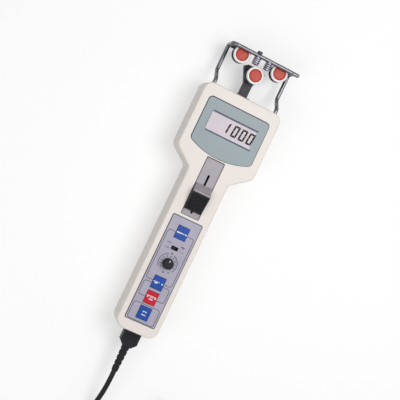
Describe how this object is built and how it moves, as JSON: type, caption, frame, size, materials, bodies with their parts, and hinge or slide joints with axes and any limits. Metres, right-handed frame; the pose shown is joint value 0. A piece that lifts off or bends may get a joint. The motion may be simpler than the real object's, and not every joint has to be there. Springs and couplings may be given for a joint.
{
  "type": "hand-held tension meter",
  "caption": "Hand-held tension meter: wide display head on a slim keypad handle, a sliding wire guard with grooved rollers, a measuring arm, a thumb slider and a plug-in cord.",
  "frame": {"origin": "on the flat back of the housing, at the middle of the meter's box without its cord", "axes": "+X to the right across the display, +Y up the body towards the rollers, +Z out of the display face"},
  "size_m": [0.1086, 0.4805, 0.043],
  "materials": {
    "case_ivory": "fine satin moulded plastic",
    "panel_blue_grey": "satin printed plate",
    "lcd_grey": "clear front over a reflective display",
    "keypad_lilac": "satin printed plate",
    "key_blue": "satin key cap",
    "key_red": "satin key cap",
    "channel_metal": "brushed",
    "chrome_rod": "polished",
    "steel": "ground",
    "dark_steel": "black oxide",
    "black_plastic": "moulded",
    "black_rubber": "soft moulded",
    "roller_white": "polished",
    "roller_red": "moulded",
    "brass": "turned",
    "board_green": "solder mask",
    "cell_wrap": "shrink sleeve"
  },
  "bodies": {
    "housing": {"front_case": "case_ivory", "rear_case": "case_ivory", "battery_cover": "case_ivory", "case_screws": "steel", "display_panel": "panel_blue_grey", "lcd_module": "lcd_grey", "display_board": "board_green", "keypad_panel": "keypad_lilac", "keypad_board": "board_green", "main_board": "board_green", "switch_body": "black_plastic", "potentiometer": "black_plastic", "slider_channel_plate": "channel_metal", "guide_bushes": "brass", "arm_collar": "black_rubber", "spring_block": "steel", "load_sensor": "black_plastic", "battery_cells": "cell_wrap", "output_socket": "black_plastic", "cord_plug": "black_plastic", "cord_boot": "black_rubber", "cord_lead": "black_rubber", "cord_coil": "black_rubber", "cord_tail": "black_rubber", "cord_tie": "black_plastic", "far_plug_grip": "black_plastic", "far_plug_shell": "chrome_rod"},
    "carriage": {"guard_frame": "chrome_rod", "roller_brackets": "dark_steel", "outer_axles": "steel", "guide_posts": "steel", "post_nut": "dark_steel", "carriage_yoke": "steel", "lift_link": "steel", "slider_plate": "channel_metal", "thumb_grip": "black_plastic", "return_springs": "steel"},
    "arm": {"measuring_arm": "dark_steel", "centre_axle": "steel", "leaf_springs": "steel"},
    "mode_switch": {"mode_switch": "black_plastic"},
    "adjust_knob": {"adjust_knob": "black_plastic"},
    "left_roller": {"left_roller_hub": "dark_steel", "left_roller_ring": "roller_white", "left_roller_cap": "roller_red", "left_roller_bearing": "steel"},
    "centre_roller": {"centre_roller_hub": "dark_steel", "centre_roller_ring": "roller_white", "centre_roller_cap": "roller_red", "centre_roller_bearing": "steel"},
    "right_roller": {"right_roller_hub": "dark_steel", "right_roller_ring": "roller_white", "right_roller_cap": "roller_red", "right_roller_bearing": "steel"},
    "upper_key": {"upper_key": "key_blue"},
    "middle_key": {"middle_key": "key_blue"},
    "red_key": {"red_key": "key_red"},
    "lower_key": {"lower_key": "key_blue"}
  },
  "joints": [
    {"name": "carriage_slide", "type": "slide", "parent": "housing", "child": "carriage", "axis": [0, 1, 0], "range_m": [0, 0.012], "stiffness_N_per_m": 400, "springref_m": -0.008, "deforming": ["return_springs"]},
    {"name": "arm_deflection", "type": "slide", "parent": "housing", "child": "arm", "axis": [0, -1, 0], "range_m": [0, 0.0008], "stiffness_N_per_m": 3000, "deforming": ["leaf_springs"]},
    {"name": "left_roller_spin", "type": "hinge", "parent": "carriage", "child": "left_roller", "pos_m": [-0.0205, 0.1368, 0.0255], "axis": [0, 0, 1], "continuous": true},
    {"name": "centre_roller_spin", "type": "hinge", "parent": "arm", "child": "centre_roller", "pos_m": [0, 0.1245, 0.0255], "axis": [0, 0, 1], "continuous": true},
    {"name": "right_roller_spin", "type": "hinge", "parent": "carriage", "child": "right_roller", "pos_m": [0.0205, 0.1368, 0.0255], "axis": [0, 0, 1], "continuous": true},
    {"name": "upper_key_press", "type": "slide", "parent": "housing", "child": "upper_key", "axis": [0, 0, -1], "range_m": [0, 0.0006], "stiffness_N_per_m": 150, "springref_m": -0.0004},
    {"name": "middle_key_press", "type": "slide", "parent": "housing", "child": "middle_key", "axis": [0, 0, -1], "range_m": [0, 0.0006], "stiffness_N_per_m": 150, "springref_m": -0.0004},
    {"name": "red_key_press", "type": "slide", "parent": "housing", "child": "red_key", "axis": [0, 0, -1], "range_m": [0, 0.0006], "stiffness_N_per_m": 150, "springref_m": -0.0004},
    {"name": "lower_key_press", "type": "slide", "parent": "housing", "child": "lower_key", "axis": [0, 0, -1], "range_m": [0, 0.0006], "stiffness_N_per_m": 150, "springref_m": -0.0004},
    {"name": "mode_switch_slide", "type": "slide", "parent": "housing", "child": "mode_switch", "axis": [1, 0, 0], "range_m": [0, 0.003]},
    {"name": "adjust_knob_turn", "type": "hinge", "parent": "housing", "child": "adjust_knob", "pos_m": [0, -0.0732, 0.036], "axis": [0, 0, 1], "range_deg": [-135, 135]}
  ]
}
